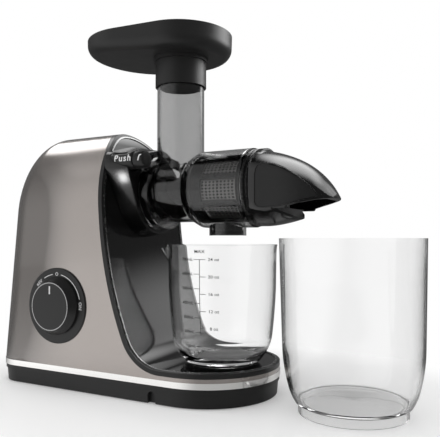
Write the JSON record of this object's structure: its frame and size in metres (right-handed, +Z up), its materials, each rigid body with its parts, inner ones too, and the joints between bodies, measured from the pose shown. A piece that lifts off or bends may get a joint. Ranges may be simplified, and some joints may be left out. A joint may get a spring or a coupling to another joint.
{
  "type": "cold press juicer",
  "caption": "Horizontal slow juicer with a geared auger in a clear drum, a twist-off pulp cap, a feed tray, a dial, a release button, a juice jug and a pulp container.",
  "frame": {"origin": "middle of the footprint at table level", "axes": "+X from the back of the tower along the head towards the pulp container, +Y from the dial's side to the far side, +Z up"},
  "size_m": [0.4483, 0.1565, 0.3697],
  "materials": {
    "taupe_shell": "metallic taupe lacquer on a moulded shell",
    "black_trim": "satin black",
    "bright_bead": "bright plated bead",
    "gloss_black": "high gloss black",
    "socket_black": "gloss black",
    "chrome_band": "bright chrome",
    "skirt_black": "satin black",
    "cover_black": "fine-grained black",
    "soft_rubber": "matt rubber",
    "screw_steel": "zinc-plated steel",
    "dial_black": "satin black with printed marks",
    "knob_black": "satin black",
    "button_black": "black with a fine knurl",
    "steel": "turned steel",
    "bronze": "sintered bronze",
    "switch_body": "black moulding",
    "gear_nylon": "natural nylon",
    "case_grey": "glass-filled grey moulding",
    "motor_steel": "zinc-plated steel",
    "core_steel": "varnished laminations",
    "fan_plastic": "black moulding",
    "board_green": "green laminate",
    "smoky_clear": "smoky clear plastic",
    "strainer_black": "satin black",
    "mesh_steel": "perforated stainless steel",
    "auger_black": "satin black",
    "seal_black": "soft black silicone",
    "tray_black": "satin black",
    "clear_jug": "clear plastic with a printed scale",
    "clear_container": "clear plastic"
  },
  "bodies": {
    "base": {"housing_shell": "taupe_shell", "shell_trim": "black_trim", "trim_bead": "bright_bead", "front_panel": "gloss_black", "drum_socket": "socket_black", "chrome_band": "chrome_band", "base_skirt": "skirt_black", "bottom_cover": "cover_black", "rubber_feet": "soft_rubber", "cover_screws": "screw_steel", "dial_plate": "dial_black", "rotary_switch": "switch_body", "middle_pin": "steel", "gear_case": "case_grey", "gear_cover": "case_grey", "case_screws": "screw_steel", "front_bearing": "steel", "shaft_seal": "soft_rubber", "rear_bush": "bronze", "motor_can": "motor_steel", "stator_core": "core_steel", "motor_cradle": "case_grey", "control_board": "board_green", "cord_gland": "soft_rubber"},
    "knob": {"knob": "knob_black", "knob_ring": "chrome_band", "knob_spindle": "steel"},
    "push_button": {"push_button": "button_black"},
    "auger": {"output_shaft": "steel", "output_gear": "gear_nylon", "auger": "auger_black"},
    "middle_gear": {"middle_gear": "gear_nylon"},
    "rotor": {"motor_shaft": "steel", "first_pinion": "gear_nylon", "rotor_core": "core_steel", "cooling_fan": "fan_plastic"},
    "drum": {"juice_drum": "smoky_clear", "strainer_frame": "strainer_black", "strainer_mesh": "mesh_steel", "outlet_seal": "seal_black", "drum_gasket": "seal_black"},
    "pulp_cap": {"pulp_cap": "gloss_black"},
    "feed_tray": {"feed_tray": "tray_black"},
    "juice_jug": {"juice_jug": "clear_jug"},
    "pulp_container": {"pulp_container": "clear_container"}
  },
  "joints": [
    {"name": "knob_turn", "type": "hinge", "parent": "base", "child": "knob", "pos_m": [-0.13005, -0.0711, 0.0857], "axis": [0, 1, 0], "range_deg": [-45, 90]},
    {"name": "button_press", "type": "slide", "parent": "base", "child": "push_button", "axis": [0, 0.8709, -0.4915], "range_m": [0, 0.003], "stiffness_N_per_m": 800, "springref_m": -0.001},
    {"name": "auger_spin", "type": "hinge", "parent": "base", "child": "auger", "pos_m": [0.0086, 0.0055, 0.205], "axis": [1, 0, 0], "continuous": true},
    {"name": "middle_gear_spin", "type": "hinge", "parent": "base", "child": "middle_gear", "pos_m": [-0.1014, 0.0055, 0.16125], "axis": [1, 0, 0], "continuous": true},
    {"name": "rotor_spin", "type": "hinge", "parent": "base", "child": "rotor", "pos_m": [-0.1514, 0.0055, 0.12525], "axis": [1, 0, 0], "continuous": true},
    {"name": "drum_twist", "type": "hinge", "parent": "base", "child": "drum", "pos_m": [-0.0514, 0.0055, 0.205], "axis": [1, 0, 0], "range_deg": [0, 35]},
    {"name": "cap_twist", "type": "hinge", "parent": "drum", "child": "pulp_cap", "pos_m": [0.0666, 0.0055, 0.205], "axis": [1, 0, 0], "range_deg": [0, 30]},
    {"name": "tray_lift", "type": "slide", "parent": "drum", "child": "feed_tray", "axis": [0, 0, 1], "range_m": [0, 0.06]},
    {"name": "jug_slide", "type": "slide", "parent": "base", "child": "juice_jug", "axis": [0, -0.999, 0.0436], "range_m": [0, 0.14]},
    {"name": "container_slide", "type": "slide", "parent": "base", "child": "pulp_container", "axis": [1, 0, 0], "range_m": [0, 0.12]}
  ],
  "couplings": [
    {"joint": "middle_gear_spin", "follows": "auger_spin", "ratio": -4},
    {"joint": "rotor_spin", "follows": "auger_spin", "ratio": 20}
  ]
}
